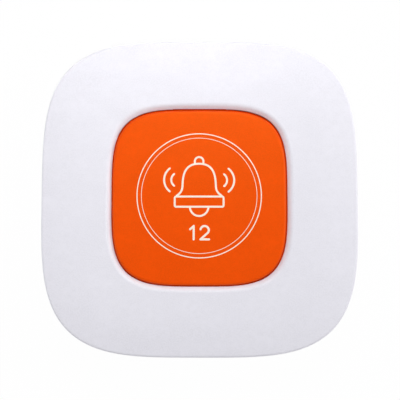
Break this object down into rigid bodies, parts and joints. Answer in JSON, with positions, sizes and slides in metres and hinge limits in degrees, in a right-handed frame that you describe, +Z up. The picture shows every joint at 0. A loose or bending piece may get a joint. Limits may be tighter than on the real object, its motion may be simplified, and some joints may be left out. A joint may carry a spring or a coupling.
{
  "type": "waiter call button",
  "caption": "Table-top wireless call button: white rounded-square housing with a large flush orange push button, rubber feet and a coin-slot battery door.",
  "frame": {"origin": "middle of the four feet's resting plane, under the centre of the button", "axes": "+Z up out of the button's face; -Y is the edge nearest the guest, where the foot of the legend is; +X to the guest's right"},
  "size_m": [0.07, 0.07, 0.018],
  "materials": {
    "white_plastic": "satin",
    "orange_plastic": "satin",
    "black_plastic": "satin",
    "black_rubber": "matte",
    "clear_silicone": "satin",
    "zinc_steel": "satin",
    "nickel_steel": "satin",
    "tinned_brass": "satin",
    "green_board": "satin",
    "pale_ceramic": "matte",
    "tan_ceramic": "matte",
    "tantalum_yellow": "satin"
  },
  "bodies": {
    "housing": {"top_cover": "white_plastic", "base_shell": "white_plastic", "rubber_feet": "black_rubber", "housing_screws": "zinc_steel", "key_membrane": "clear_silicone", "switch_body": "black_plastic", "switch_cover": "nickel_steel", "switch_dome": "nickel_steel", "switch_terminals": "tinned_brass", "coin_cell": "nickel_steel", "negative_contact": "tinned_brass", "positive_contact": "tinned_brass", "circuit_board": "green_board", "controller_chip": "black_plastic", "chip_leads": "tinned_brass", "saw_resonator": "pale_ceramic", "rf_transistor": "black_plastic", "transistor_leads": "tinned_brass", "bulk_capacitor": "tantalum_yellow", "chip_resistors": "black_plastic", "chip_capacitors": "tan_ceramic", "chip_inductors": "pale_ceramic", "antenna_loop": "tinned_brass"},
    "button": {"button_cap": "orange_plastic"},
    "stem": {"switch_stem": "black_plastic"},
    "door": {"battery_door": "white_plastic"}
  },
  "joints": [
    {"name": "button_press", "type": "slide", "parent": "housing", "child": "button", "axis": [0, 0, -1], "range_m": [0, 0.0006], "stiffness_N_per_m": 2500, "springref_m": -0.0004, "deforming": ["key_membrane"]},
    {"name": "stem_press", "type": "slide", "parent": "housing", "child": "stem", "axis": [0, 0, -1], "range_m": [0, 0.0003], "deforming": ["switch_dome"]},
    {"name": "battery_door_turn", "type": "hinge", "parent": "housing", "child": "door", "pos_m": [0, 0, 0.00175], "axis": [0, 0, -1], "range_deg": [0, 40]}
  ],
  "couplings": [
    {"joint": "stem_press", "follows": "button_press", "ratio": 0.5}
  ]
}
